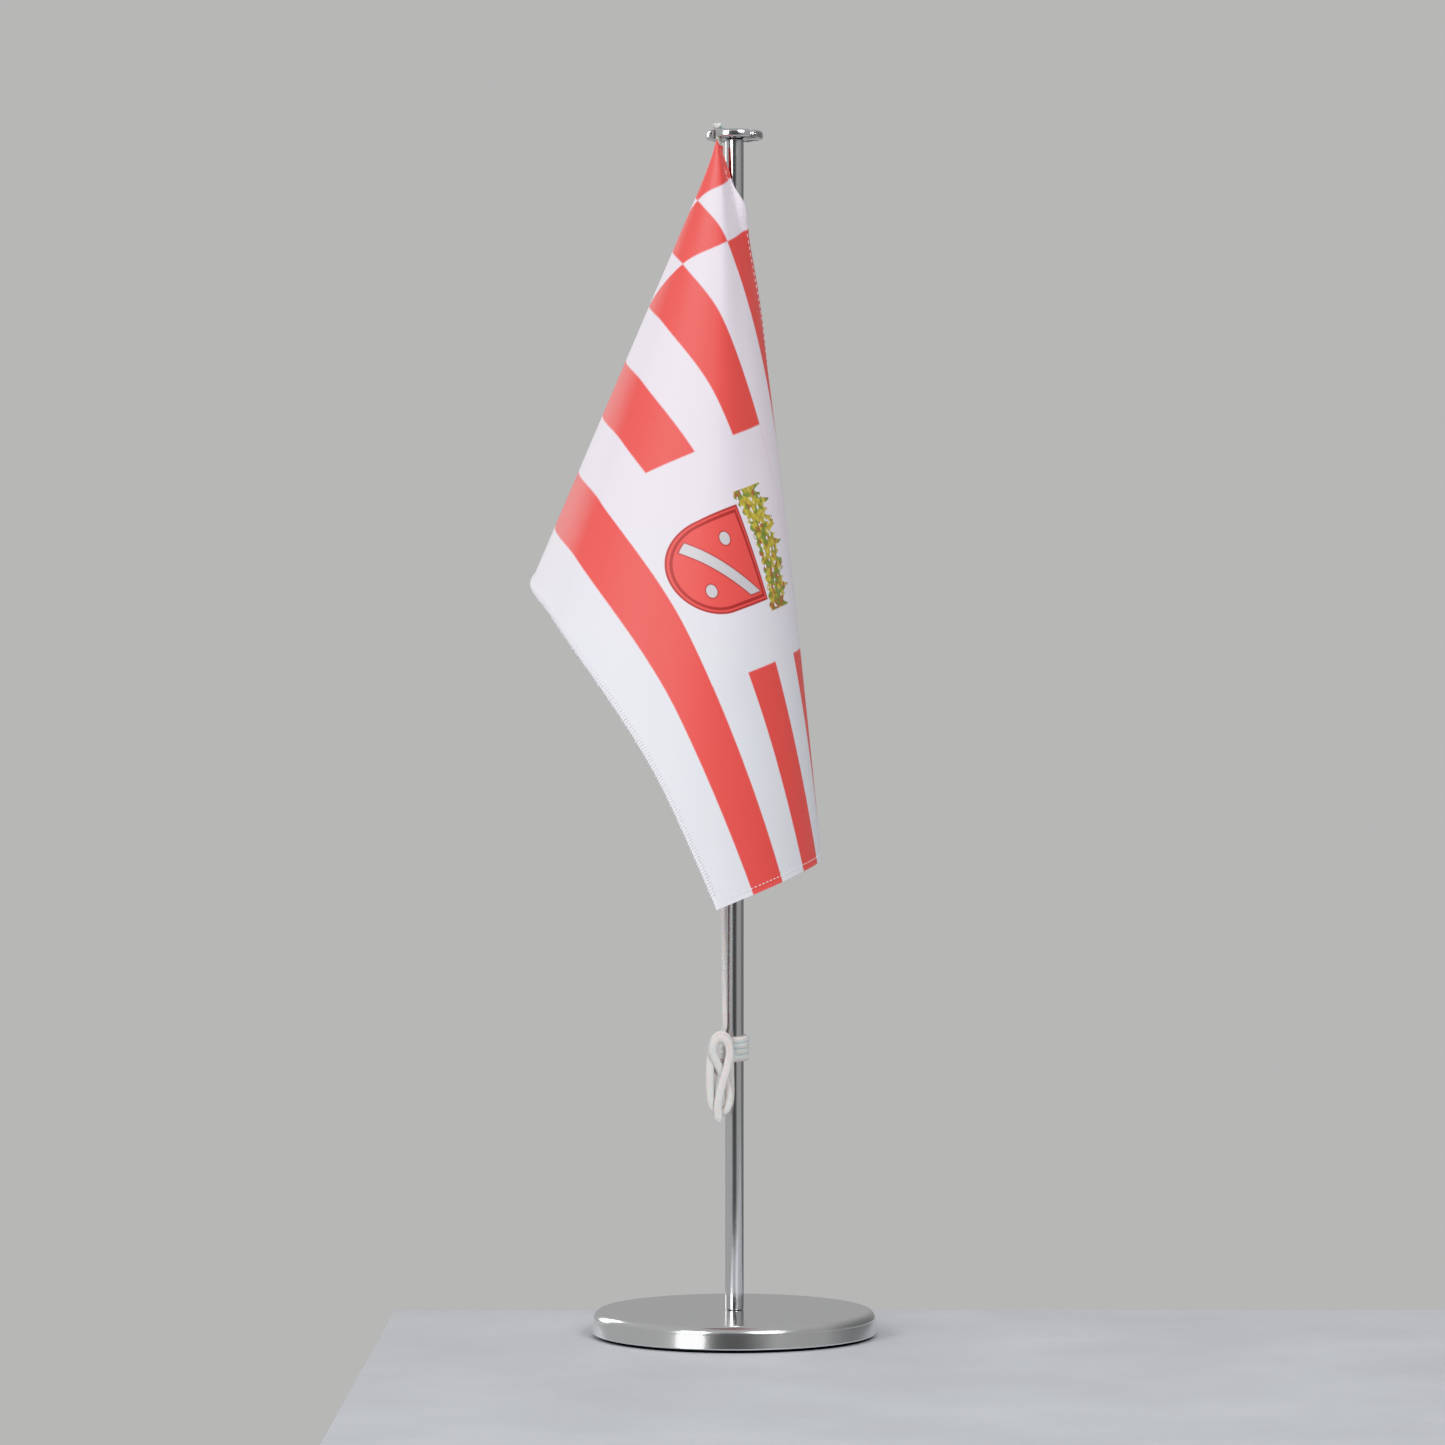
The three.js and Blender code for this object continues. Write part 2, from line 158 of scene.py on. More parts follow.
def arc(r, z, radius, start, end, steps):
    """Points of an arc in a profile about (r, z), from one angle in degrees to another."""
    a = np.radians(np.linspace(start, end, steps + 1))
    return np.stack([r + radius * np.cos(a), z + radius * np.sin(a)], -1)


def turned(profile, sides):
    """A profile of (radius, height) carried round the pole's axis."""
    profile = np.asarray(profile, float)
    around = np.linspace(0, 2 * math.pi, sides, endpoint=False)
    r, z = profile[:, 0, None], profile[:, 1, None]
    return np.stack([r * np.cos(around), r * np.sin(around), z + 0 * around], -1)


def smooth_through(xs, ys, x):
    """Values ys at xs joined by a cubic curve, whose slope at each comes from the two beside it."""
    xs, ys = np.asarray(xs, float), np.asarray(ys, float)
    last = len(xs) - 1
    before = np.maximum(np.arange(last + 1) - 1, 0)
    after = np.minimum(np.arange(last + 1) + 1, last)
    wide = (slice(None),) + (None,) * (ys.ndim - 1)
    slope = (ys[after] - ys[before]) / (xs[after] - xs[before])[wide]
    i = np.clip(np.searchsorted(xs, x, side="right") - 1, 0, last - 1)
    h = xs[i + 1] - xs[i]
    t = (x - xs[i]) / h
    if ys.ndim > 1:
        h, t = h[..., None], t[..., None]
    return (
        (2 * t**3 - 3 * t**2 + 1) * ys[i]
        + (t**3 - 2 * t**2 + t) * h * slope[i]
        + (3 * t**2 - 2 * t**3) * ys[i + 1]
        + (t**3 - t**2) * h * slope[i + 1]
    )


def length_along(path):
    """How far along the path each of its points lies."""
    return np.concatenate([[0], np.cumsum(np.linalg.norm(np.diff(path, axis=0), axis=1))])


def spaced(path, step):
    """The same path with its points an equal step apart."""
    along = length_along(path)
    at = np.linspace(0, along[-1], max(int(round(along[-1] / step)), 2) + 1)
    return np.stack([np.interp(at, along, path[:, k]) for k in range(3)], -1)


def tube(path, radii, sides, outward, closed=False, squeeze=1.0):
    """A round section carried along a path. outward is a direction at each point that the section's
    frame keeps to: the frame is outward made square to the path, and the cross product of the two.
    Where squeeze is under 1 the section is flatter along outward by it, and as much wider across."""
    if closed:
        tangent = unit(np.roll(path, -1, 0) - np.roll(path, 1, 0))
    else:
        tangent = unit(np.gradient(path, axis=0))
    first = unit(outward - (outward * tangent).sum(-1, keepdims=True) * tangent)
    second = np.cross(tangent, first)
    around = np.linspace(0, 2 * math.pi, sides, endpoint=False)[None, :, None]
    radii = np.broadcast_to(radii, len(path))[:, None, None]
    squeeze = np.broadcast_to(squeeze, len(path))[:, None, None]
    thick, wide = radii * squeeze, radii * (2 - squeeze)
    return path[:, None] + thick * np.cos(around) * first[:, None] + wide * np.sin(around) * second[:, None]


# ---- Finishes ----


class Recipe:
    """Builds one finish's nodes. Sockets and plain numbers mix freely in every call."""

    def __init__(self, name, color, roughness, metallic=0.0, **sockets):
        self.finish = bpy.data.materials.new(name)
        self.finish.use_nodes = True
        self.finish.diffuse_color = (*color, 1)
        self.tree = self.finish.node_tree
        self.shader = self.tree.nodes["Principled BSDF"]
        self.shader.inputs["Base Color"].default_value = (*color, 1)
        self.shader.inputs["Roughness"].default_value = roughness
        self.shader.inputs["Metallic"].default_value = metallic
        for socket, value in sockets.items():
            self.shader.inputs[socket.replace("_", " ")].default_value = value

    def put(self, socket, value):
        if isinstance(value, bpy.types.NodeSocket):
            self.tree.links.new(value, socket)
        else:
            socket.default_value = value

    def node(self, kind, inputs, output=0, **settings):
        node = self.tree.nodes.new(kind)
        for key, value in settings.items():
            setattr(node, key, value)
        for key, value in inputs.items():
            self.put(node.inputs[key], value)
        return node.outputs[output]

    def math(self, operation, a, b=0.0):
        return self.node("ShaderNodeMath", {0: a, 1: b}, operation=operation)

    def minus(self, a, b):
        return self.math("SUBTRACT", a, b)

    def times(self, a, b):
        return self.math("MULTIPLY", a, b)

    def near(self, value, middle, half_width):
        """Above zero within the half width of the middle value, and below zero further off."""
        return self.minus(half_width, self.math("ABSOLUTE", self.minus(value, middle)))

    def distance(self, a, b):
        """Square root of the sum of the two squares."""
        return self.math("SQRT", self.math("ADD", self.times(a, a), self.times(b, b)))

    def step(self, value, width):
        """0 below zero and 1 above it, softened over the width."""
        return self.node(
            "ShaderNodeMapRange",
            {"Value": value, "From Min": -width / 2, "From Max": width / 2},
            interpolation_type="SMOOTHSTEP",
        )

    def mix(self, share, a, b):
        node = self.tree.nodes.new("ShaderNodeMix")
        node.data_type = "RGBA"
        for key, value in ((0, share), (6, a), (7, b)):
            self.put(node.inputs[key], (*value, 1) if isinstance(value, tuple) else value)
        return node.outputs[2]

    def place(self, flat=False):
        """Object coordinates, or the piece's own flat map."""
        if flat:
            return self.node("ShaderNodeUVMap", {}, uv_map="Flat")
        return self.node("ShaderNodeTexCoord", {}, "Object")

    def scaled(self, place, size):
        return self.node("ShaderNodeMapping", {"Vector": place, "Scale": size})

    def noise(self, place, scale, detail=3.0):
        return self.node("ShaderNodeTexNoise", {"Vector": place, "Scale": scale, "Detail": detail})

    def between(self, value, low, high):
        return self.node("ShaderNodeMapRange", {"Value": value, "To Min": low, "To Max": high})

    def bump(self, height, depth, strength=1.0):
        normal = self.node("ShaderNodeBump", {"Height": height, "Distance": depth, "Strength": strength})
        self.put(self.shader.inputs["Normal"], normal)

    def color(self, value):
        self.put(self.shader.inputs["Base Color"], value)

    def rough(self, value):
        self.put(self.shader.inputs["Roughness"], value)


def chrome_finish():
    """Bright chrome plate on the pole and the disc: a mirror with a faint polishing haze and upright
    hairlines."""
    r = Recipe("chrome_plate", (0.72, 0.725, 0.735), 0.12, 1.0)
    haze = r.noise(r.place(), 60, 4)
    hair = r.noise(r.scaled(r.place(), (1, 1, 0.08)), 900, 2)
    r.rough(r.math("ADD", r.between(haze, 0.07, 0.13), r.between(hair, 0.0, 0.04)))
    r.bump(hair, 0.00001, 0.15)
    return r.finish


def plated_foot_finish():
    """The base's chrome: softer than the pole's, and turned on a lathe before plating, so faint rings
    run round it. They are noise that depends only on the distance from the pole's axis."""
    r = Recipe("turned_chrome", (0.74, 0.745, 0.75), 0.12, 1.0)
    x = r.node("ShaderNodeSeparateXYZ", {0: r.place()})
    radius = r.distance(x, x.node.outputs[1])
    rings = r.node("ShaderNodeTexNoise", {"W": radius, "Scale": 1500, "Detail": 3.0}, noise_dimensions="1D")
    haze = r.noise(r.place(), 35, 4)
    r.rough(r.math("ADD", r.between(haze, 0.1, 0.18), r.between(rings, 0.0, 0.05)))
    r.bump(rings, 0.00001, 0.25)
    return r.finish


def steel_finish():
    """Zinc-plated turned steel, with tool marks round it and patches of dulled plating."""
    r = Recipe("zinc_steel", (0.5, 0.5, 0.51), 0.32, 1.0)
    marks = r.noise(r.scaled(r.place(), (0.4, 0.4, 6)), 500, 2)
    patches = r.noise(r.place(), 220, 5)
    r.color(r.mix(patches, (0.44, 0.44, 0.45), (0.6, 0.6, 0.6)))
    r.rough(r.between(patches, 0.22, 0.45))
    r.bump(marks, 0.00003, 0.4)
    return r.finish


def iron_finish():
    """Raw grey iron casting: pitted, grainy, slightly brown where it has begun to rust."""
    r = Recipe("raw_casting", (0.09, 0.09, 0.095), 0.7, 0.7)
    grain = r.noise(r.place(), 900, 6)
    rust = r.noise(r.place(), 90, 5)
    spots = r.step(r.minus(rust, 0.6), 0.1)
    r.color(r.mix(spots, (0.085, 0.085, 0.09), (0.13, 0.07, 0.045)))
    r.rough(r.between(grain, 0.55, 0.85))
    r.bump(grain, 0.0001, 0.7)
    return r.finish


def foam_finish():
    """Black foam rubber with closed cells."""
    r = Recipe("foam_pad", (0.02, 0.02, 0.021), 0.85)
    cells = r.node("ShaderNodeTexVoronoi", {"Vector": r.place(), "Scale": 2200})
    r.color(r.mix(cells, (0.012, 0.012, 0.013), (0.035, 0.035, 0.036)))
    r.rough(r.between(cells, 0.75, 0.95))
    r.bump(cells, 0.00012, 0.8)
    return r.finish


def cord_finish():
    """Braided cord, soft, and letting a little light in: two sets of strands cross on opposite slants, each
    as high as the size of a sine along its slant, with a slightly darker line of painted shade in the grooves
    between strands."""
    color = (0.64, 0.645, 0.635)
    strands_per_pitch = 6
    r = Recipe(
        "white_cord", color, 0.45, 0.0, Sheen_Weight=0.25, Subsurface_Weight=0.35, Subsurface_Scale=0.003
    )
    along = r.node("ShaderNodeSeparateXYZ", {0: r.place(flat=True)})
    around = along.node.outputs[1]
    braid = []
    for way in (1.0, -1.0):
        slant = r.math("ADD", along, r.times(around, way))
        braid.append(r.math("ABSOLUTE", r.math("SINE", r.times(slant, strands_per_pitch * math.pi))))
    strand = r.math("MINIMUM", *braid)
    # Painted shade: the colour is darkened in the grooves between strands, where shade falls.
    r.color(r.mix(strand, tuple(0.93 * c for c in color), color))
    r.rough(r.between(strand, 0.55, 0.4))
    r.bump(strand, 0.00008, 0.5)
    return r.finish


# The print. Its places are u along the fly and v down the hoist of the flat cloth.
RED = (0.83, 0.098, 0.088)
DEEP_RED = (0.79, 0.088, 0.078)
# The two whites are painted light: the shift from lavender near the top hoist corner to a cooler white
# further off is the room light's colour cast painted into the cloth.
WHITE = (0.85, 0.785, 0.865)
COOL_LIGHT_CAST_WHITE = (0.79, 0.805, 0.86)
COOL_REACH = 175.0  # from the top hoist corner, half way from the warmer white to the cooler
COOL_SPREAD = 110.0
STRIPE = HOIST / 8
CHECK_ENDS = (12.75, 31.0)
FIELD = (95.6, 177.0, 37.5, 112.5)  # u from and to, v from and to
PRINT_EDGE = 0.8
ARMS_EDGE = 0.5
ARMS_MIDDLE = 137.2

SHIELD_TOP = 68.0
SHIELD_WAIST = 89.0
SHIELD_FOOT = 109.5
SHIELD_HALF = 18.0
SHIELD_DARK = (0.42, 0.03, 0.028)
INNER_LINE = (2.0, 0.55)  # distance inside the shield's edge, and half its width
OUTER_LINE = (0.3, 0.45)
BEND_AT = 88.0
BEND_SLOPE = 0.95
BEND_HALF = 2.6
ROUNDELS = ((-8.0, 80.0), (8.0, 95.5))  # from the arms' middle, and v
ROUNDEL_RADIUS = 2.9
CHARGE_INSET = 3.4
CHARGE_LINE = 0.45
SILVER = (0.62, 0.6, 0.63)

GARLAND_AT = 58.0
GARLAND_BOW = 0.008
GARLAND_HALF = 22.5
LEAF_ROOTS = 6.0
LEAF_TIPS = ((0.4, 5.5), (1.0, 3.4))  # how closely the spikes follow each other, and their height
GARLAND_BELOW = 5.2
SCALLOPS = 1.6
LEAF_CELLS = 0.5
LEAF_COVER = 0.64  # noise above this is a hole between leaves
GREEN_FROM = 0.66  # each cell draws two numbers from 0 to 1, which make it green, or berry red, or gold
BERRY_FROM = 0.84
GOLD, GREEN, BERRY = (0.72, 0.6, 0.09), (0.2, 0.36, 0.07), (0.5, 0.13, 0.06)
LEAF_GAP = (0.24, 0.17, 0.03)


def print_red(r, u, v):
    """1 where the cloth is printed red: eight stripes, with checks at the hoist and a plain field round
    the arms. The stripes are the sign of a sine down the hoist, each check's end turns that sign round,
    and every edge is softened a little by the ink."""

    def sign(value):
        return r.minus(r.times(r.step(value, PRINT_EDGE), 2), 1)

    within = r.math("MINIMUM", r.math("MAXIMUM", v, PRINT_EDGE), HOIST - PRINT_EDGE)
    wave = r.math("SINE", r.times(within, math.pi / STRIPE))
    color = sign(r.times(wave, STRIPE / math.pi))
    for end in CHECK_ENDS:
        color = r.times(color, sign(r.minus(u, end)))
    red = r.math("ADD", r.times(color, 0.5), 0.5)
    u_from, u_to, v_from, v_to = FIELD
    inside = r.math(
        "MINIMUM",
        r.math("MINIMUM", r.minus(u, u_from), r.minus(u_to, u)),
        r.math("MINIMUM", r.minus(v, v_from), r.minus(v_to, v)),
    )
    return r.times(red, r.minus(1, r.step(inside, PRINT_EDGE)))


def print_shield(r, x, v, cloth):
    """A plain made-up shield over the cloth: straight down to its waist, then closing as half an oval.
    Its field is red with two dark lines round it, and holds a silver bend between two roundels."""
    low = r.math("DIVIDE", r.math("MAXIMUM", r.minus(v, SHIELD_WAIST), 0), SHIELD_FOOT - SHIELD_WAIST)
    out = r.distance(r.math("DIVIDE", x, SHIELD_HALF), low)
    inset = r.math("MINIMUM", r.times(r.minus(1, out), SHIELD_HALF), r.minus(v, SHIELD_TOP))
    field = r.mix(r.step(r.near(inset, *INNER_LINE), ARMS_EDGE), RED, SHIELD_DARK)
    across = math.hypot(1, BEND_SLOPE)
    slant = r.times(r.math("ADD", r.minus(v, BEND_AT), r.times(x, BEND_SLOPE)), 1 / across)
    charge = r.near(slant, 0, BEND_HALF)
    for side, down in ROUNDELS:
        off = r.distance(r.minus(x, side), r.minus(v, down))
        charge = r.math("MAXIMUM", charge, r.minus(ROUNDEL_RADIUS, off))
    charge = r.math("MINIMUM", charge, r.minus(inset, CHARGE_INSET))
    field = r.mix(r.step(charge, ARMS_EDGE), field, SHIELD_DARK)
    field = r.mix(r.step(r.minus(charge, CHARGE_LINE), ARMS_EDGE), field, SILVER)
    field = r.mix(r.step(r.near(inset, *OUTER_LINE), ARMS_EDGE), field, SHIELD_DARK)
    return r.mix(r.step(inset, ARMS_EDGE), cloth, field)


def print_garland(r, u, x, v, cloth):
    """A plain leafy garland over the cloth: a bowed band whose leaf tips stand up in two sizes of spike,
    each one less the size of a sine. The cloth shows through between the leaves, which are cells of
    gold, green and berry red with darker gaps."""
    down = r.minus(r.minus(v, GARLAND_AT), r.times(r.times(x, x), GARLAND_BOW))
    tips = LEAF_ROOTS
    for pitch, height in LEAF_TIPS:
        wave = r.math("ABSOLUTE", r.math("SINE", r.times(x, pitch)))
        tips = r.math("ADD", tips, r.times(r.minus(1, wave), height))
    below = r.math("ADD", GARLAND_BELOW, r.times(wave, SCALLOPS))
    band = r.math("MINIMUM", r.math("ADD", down, tips), r.minus(below, down))
    band = r.math("MINIMUM", band, r.near(x, 0, GARLAND_HALF))
    flat = r.node("ShaderNodeCombineXYZ", {0: u, 1: v})
    band = r.math("MINIMUM", band, r.times(r.minus(LEAF_COVER, r.noise(flat, 0.4, 1)), 20))
    cells = {"Vector": flat, "Scale": LEAF_CELLS}
    pick = r.node("ShaderNodeSeparateXYZ", {0: r.node("ShaderNodeTexVoronoi", cells, "Color")})
    leaves = r.mix(r.step(r.minus(pick, GREEN_FROM), 0.05), GOLD, GREEN)
    leaves = r.mix(r.step(r.minus(pick.node.outputs[1], BERRY_FROM), 0.05), leaves, BERRY)
    gap = r.node("ShaderNodeTexVoronoi", cells, "Distance")
    leaves = r.mix(r.between(gap, 0.0, 0.75), leaves, LEAF_GAP)
    return r.mix(r.step(band, ARMS_EDGE), cloth, leaves)


def satin_finish(name, shown=1.0, arms=True):
    """Satin cloth: a fine slanted weave, a soft gloss that shifts with the threads, and the print, shown
    with the share given, which is less on the back. The print wanders a little with the threads, and
    the white is painted cooler away from the top hoist corner, as a painted colour cast of the room's light."""
    r = Recipe(name, WHITE, 0.42, 0.0, Sheen_Weight=0.08, Sheen_Roughness=0.4, Specular_IOR_Level=1.0)
    flat = r.scaled(r.place(flat=True), (FLY, HOIST, 1))
    u = r.node("ShaderNodeSeparateXYZ", {0: flat})
    v = u.node.outputs[1]
    wander = r.times(r.minus(r.noise(flat, 1.3, 2), 0.5), 0.25)
    cloudy = r.noise(flat, 0.03, 3)
    # Painted colour cast of the light: the white turns from lavender to cooler with distance from the top
    # hoist corner.
    white = r.mix(r.step(r.minus(r.distance(u, v), COOL_REACH), COOL_SPREAD), WHITE, COOL_LIGHT_CAST_WHITE)
    white = r.mix(cloudy, r.mix(0.06, white, (0.0, 0.0, 0.0)), white)
    ink = r.mix(cloudy, DEEP_RED, RED)
    red = print_red(r, r.math("ADD", u, wander), r.math("ADD", v, wander))
    cloth = r.mix(red, white, ink)
    if arms:
        x = r.minus(u, ARMS_MIDDLE)
        cloth = print_garland(r, u, x, v, print_shield(r, x, v, cloth))
    if shown < 1:
        cloth = r.mix(shown, white, cloth)
    r.color(cloth)
    slanted = r.node("ShaderNodeMapping", {"Vector": flat, "Rotation": (0, 0, 0.4)})
    weave = r.node(
        "ShaderNodeTexWave", {"Vector": slanted, "Scale": 1.4, "Distortion": 0.6, "Detail": 1.0}
    )
    threads = r.noise(r.scaled(flat, (0.5, 4, 1)), 1.2, 2)
    r.rough(r.math("ADD", r.between(threads, 0.38, 0.46), r.between(weave, 0.0, 0.05)))
    r.bump(r.math("ADD", weave, threads), 0.00003, 0.5)
    return r.finish


def thread_finish():
    """Sewing thread: fine fibres, as noise, that differ a little in height, gloss and shade."""
    color = (0.9, 0.88, 0.92)
    r = Recipe("white_thread", color, 0.55, 0.0, Sheen_Weight=0.4)
    ply = r.noise(r.place(), 4000, 2)
    r.color(r.mix(ply, tuple(0.85 * c for c in color), color))
    r.rough(r.between(ply, 0.45, 0.7))
    r.bump(ply, 0.00008, 0.5)
    return r.finish


CHROME = chrome_finish()
FOOT_CHROME = plated_foot_finish()
STEEL = steel_finish()
IRON = iron_finish()
FOAM = foam_finish()
CORD_WHITE = cord_finish()
PRINTED = satin_finish("printed_satin")
REVERSE = satin_finish("satin_back", shown=0.72)
HEM_SATIN = satin_finish("hem_satin", arms=False)
WHITE_THREAD = thread_finish()

# ---- Camera ----

camera_data = bpy.data.cameras.new("camera")
camera_data.lens = 119.3
camera_data.sensor_width = 36
camera_data.clip_start = 0.05
camera_data.clip_end = 50
camera = bpy.data.objects.new("camera", camera_data)
camera.location = (-0.0042, -1.681, 0.215)
camera.rotation_euler = (math.pi / 2, 0, 0)
bpy.context.scene.collection.objects.link(camera)
bpy.context.scene.camera = camera

# ---- Cord ----

# Places of the cord's middle as it leaves the turns and is folded into a flat bundle in front of them:
# down on the left, up on the right, down on the left again, up across the middle, and down across it to
# its bare end.
LOOPS = [
    (-1.8, -5.8, 97.1), (-4.6, -7.1, 96.0), (-6.9, -8.1, 93.2), (-7.9, -8.5, 89.4), (-8.1, -8.6, 85.2),
    (-7.3, -8.3, 81.2), (-4.8, -7.8, 79.3), (-2.4, -7.3, 80.8), (-1.5, -7.0, 84.2), (-1.5, -7.0, 88.6),
    (-1.6, -7.0, 93.4), (-1.6, -7.3, 98.2), (-1.8, -7.6, 102.2), (-2.9, -8.0, 105.0), (-4.9, -8.4, 106.0),
    (-6.9, -8.9, 104.4), (-8.0, -9.4, 101.0), (-8.5, -9.7, 96.0), (-8.6, -9.9, 90.6), (-8.4, -9.9, 85.4),
    (-7.6, -9.8, 81.2), (-5.2, -9.6, 78.7), (-2.7, -9.3, 80.2), (-1.9, -9.1, 84.0), (-2.7, -9.2, 88.4),
    (-4.4, -9.6, 92.6), (-6.3, -10.4, 96.6), (-7.6, -11.0, 100.0), (-6.9, -11.3, 103.6), (-4.6, -11.3, 105.0),
    (-2.3, -11.1, 103.2), (-1.7, -10.9, 99.6), (-2.5, -11.0, 95.0), (-3.9, -11.2, 90.4), (-5.1, -11.3, 85.8),
    (-5.8, -11.2, 81.0), (-5.5, -10.9, 75.8),
]
EASE = 4.5  # radius of the quarter circle that takes the cord from its run into its turns


def cord_path():
    """The cord's middle line: straight from the head disc's slot down through the hoist, round a quarter
    circle laid on the pole into a falling coil wound clockwise from above, then smoothly through the
    loops."""
    start = CORD_HEAD + np.array([0, 0, CORD_ABOVE_HEAD])
    down = np.linspace(start, CORD_FOOT + np.array([0, 0, EASE]), 170)
    bend = np.radians(np.linspace(10, 90, 9))
    lean = np.degrees(EASE * (1 - np.cos(bend)) / TURN_RADIUS)
    onto = polar(TURN_RADIUS, SLOT_ANGLE - lean, TURN_TOP + EASE * (1 - np.sin(bend)))
    turned_by = np.linspace(8, TURN_SWEEP, 150)
    coil = polar(TURN_RADIUS, SLOT_ANGLE - lean[-1] - turned_by, TURN_TOP - TURN_PITCH * turned_by / 360)
    # The smooth curve takes over from the coil's last few points, so that the two join without a kink.
    knots = np.concatenate([coil[-7::3], LOOPS])
    along = length_along(knots)
    loops = smooth_through(along, knots, np.linspace(0, along[-1], 500))
    return spaced(np.concatenate([down, onto, coil[:-7], loops]), CORD_STEP)


PRESSED_FROM = 308.0  # distance along the cord at which it comes to lie on the pole
PRESSED_OVER = 10.0
PRESSED = 0.32  # share of its thickness that the cord loses where it is pulled tight round the pole
PRESSED_MORE = 0.1  # and the share more that it loses in the bundle
BUNDLE_FRONT = -5.0  # y past which the cord has left the pole for the bundle
BUNDLE_BLEND = 1.5


def cord_piece(route):
    """The whole cord: a round section carried along the route and rounded off at its bare end as a
    circle's edge. Its flatter side faces the pole on the turns, and the front in the bundle."""
    along = length_along(route)
    to_tip = np.clip((along[-1] - along) / CORD_TIP, 0, 1)
    tip = np.sqrt(np.clip(1 - (1 - to_tip) ** 2, 0.05, 1))
    in_bundle = np.clip((BUNDLE_FRONT - route[:, 1]) / BUNDLE_BLEND, 0, 1)[:, None]
    away_from_pole = unit(route * np.array([1, 1, 0]))
    flat_side = away_from_pole * (1 - in_bundle) + np.array([0, -1.0, 0]) * in_bundle
    on_pole = np.clip((along - PRESSED_FROM) / PRESSED_OVER, 0, 1)
    pressed = 1 - PRESSED * on_pole - PRESSED_MORE * in_bundle[:, 0]
    return surface(
        "white_cord", tube(route, CORD_RADIUS * tip, 16, flat_side, squeeze=pressed), "head", [CORD_WHITE],
        closed=(False, True), caps=(0, -1), uv=(along / BRAID_PITCH, np.linspace(0, 1, 17)),
    )


def knot_piece():
    """The knot at the cord's head: a trefoil. Its plan is a circle plus one twice as large, run round the
    other way at double speed, and it rises and falls three times as a sine."""
    t = np.linspace(0, 2 * math.pi, 120, endpoint=False)
    plan_x = 0.5 * (np.sin(t) + 2 * np.sin(2 * t))
    plan_y = 0.5 * (np.cos(t) - 2 * np.cos(2 * t))
    line = np.stack([plan_x, plan_y, -0.42 * np.sin(3 * t)], -1)
    middle = CORD_HEAD + np.array([0, 0, KNOT_RISE])
    piece = surface(
        "head_knot", tube(line + middle, KNOT_CORD, 12, line * np.array([1, 1, 0]), closed=True), "head",
        [CORD_WHITE], closed=(True, True), uv=(np.linspace(0, 5, 121), np.linspace(0, 1, 13)),
    )
    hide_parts("cord_knot")
    return piece


route = cord_path()
cord = cord_piece(route)
knot = knot_piece()
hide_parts("cord_run", "cord_wrap", "cord_hank")

# ---- Flag ----

# The flag hangs as a fan of fold lines from its top hoist corner. Each row: the line's angle below the
# top edge in the flat cloth, then its leans from the vertical, sideways (to +X) at the corner and lower
# down, and forward (to -Y) at the corner and lower down, all in degrees.
FOLDS = np.array([
    (0, 23, -3, -19, 3),
    (12, 16, 5, -9, 16),
    (24, 10, 3, 3, 26),
    (36, 3, -7, 15, 31),
    (50, -14, -20, 19, 30),
    (63, -23, -22, 11, 14),
    (76, -14, -13, 2, 3),
    (
        90,
        *[math.degrees(math.atan(CORD_AXIS[0] / -CORD_AXIS[2]))] * 2,
        *[math.degrees(math.atan(CORD_AXIS[1] / CORD_AXIS[2]))] * 2,
    ),
])
SETTLE = 70.0  # distance from the corner over which a fold line bends to its lower lean
OFF_POLE = 1.4  # least distance from the pole's surface to the middle of the sheet
CORNER_TUG = np.array([-0.9, -0.3, 1.9])  # how far the cord tugs the cloth at the corner
TUG_REACH = 6.0  # distance from the corner over which the tug dies away


def draped(u, v):
    """Where a point of the flat cloth hangs, u along the fly and v down the hoist: its fold line is
    followed from the corner for its flat distance, its leans easing from the corner's to the lower ones.
    Near the corner the cord tugs it up by an amount that dies away, and all of it is kept off the pole."""
    u, v = np.broadcast_arrays(np.asarray(u, float), np.asarray(v, float))
    reach = np.hypot(u, v)
    fan = np.clip(np.degrees(np.arctan2(v, np.maximum(u, 1e-9))), 0, 90)
    leans = smooth_through(FOLDS[:, 0], FOLDS[:, 1:], fan)
    steps = 24
    along = (np.arange(steps) + 0.5) / steps
    early = np.exp(-reach[..., None] * along / SETTLE)
    side = np.radians(leans[..., 1, None] + (leans[..., 0] - leans[..., 1])[..., None] * early)
    front = np.radians(leans[..., 3, None] + (leans[..., 2] - leans[..., 3])[..., None] * early)
    way = unit(np.stack([np.tan(side), -np.tan(front), -np.ones_like(side)], -1))
    p = FLAG_CORNER + way.mean(-2) * reach[..., None]
    p = p + CORNER_TUG * np.exp(-reach / TUG_REACH)[..., None]
    keep = POLE_RADIUS + OFF_POLE
    out = np.maximum(np.hypot(p[..., 0], p[..., 1]), 1e-6)
    pushed = (out**8 + keep**8) ** (1 / 8) / out
    return p * np.stack([pushed, pushed, np.ones_like(pushed)], -1)


def on_cloth(u, v, off):
    """The draped point, moved off the cloth's middle along its normal; off is positive on the back."""
    u, v, off = np.broadcast_arrays(np.asarray(u, float), np.asarray(v, float), np.asarray(off, float))
    half = 0.5
    at_u, at_v = np.clip(u, half + 0.01, FLY + 5), np.clip(v, half + 0.01, HOIST + 5)
    fly = draped(at_u + half, at_v) - draped(at_u - half, at_v)
    hoist = draped(at_u, at_v + half) - draped(at_u, at_v - half)
    return draped(u, v) + unit(np.cross(fly, hoist)) * off[..., None]


def sheet_grid(us, vs, front, back):
    """Both faces and the rim of a strip of cloth as one grid: a closed line across the strip, front
    then back, carried along it."""
    across = np.concatenate([vs, vs[::-1]])
    off = np.concatenate([np.full(len(vs), front), np.full(len(vs), back)])
    return on_cloth(us[:, None], across[None, :], off[None, :])


